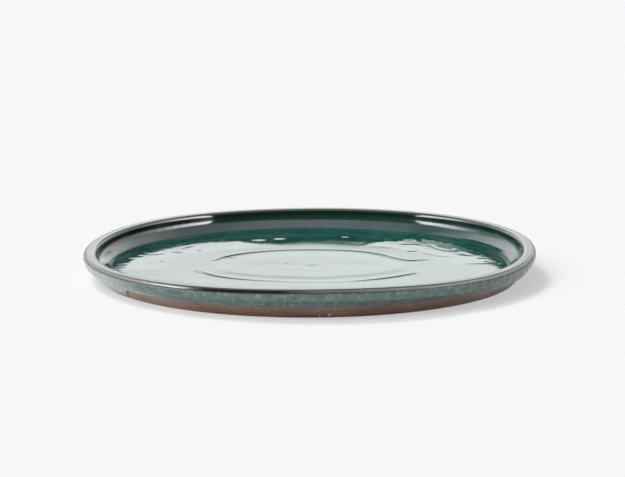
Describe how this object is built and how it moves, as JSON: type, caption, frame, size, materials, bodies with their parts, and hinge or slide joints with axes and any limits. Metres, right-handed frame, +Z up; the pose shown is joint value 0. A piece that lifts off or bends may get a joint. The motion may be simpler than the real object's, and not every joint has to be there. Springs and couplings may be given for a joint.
{
  "type": "plant saucer",
  "caption": "Round low stoneware plant saucer with a thick rounded rim, a flat glazed well and a bare clay foot.",
  "frame": {"origin": "centre of the circle that the foot stands on, at the level of the surface below it", "axes": "+Z up along the axis of the dish, out of the well; +X and +Y lie in the plane of the foot"},
  "size_m": [0.24, 0.24, 0.0167],
  "materials": {
    "clay": "matte fired stoneware, bare at the foot and base",
    "inner_glaze": "glossy poured glaze, deep emerald to teal",
    "outer_glaze": "satin mottled grey green glaze"
  },
  "bodies": {
    "root": {"clay_body": "clay", "inner_glaze": "inner_glaze", "outer_glaze": "outer_glaze"}
  },
  "joints": []
}
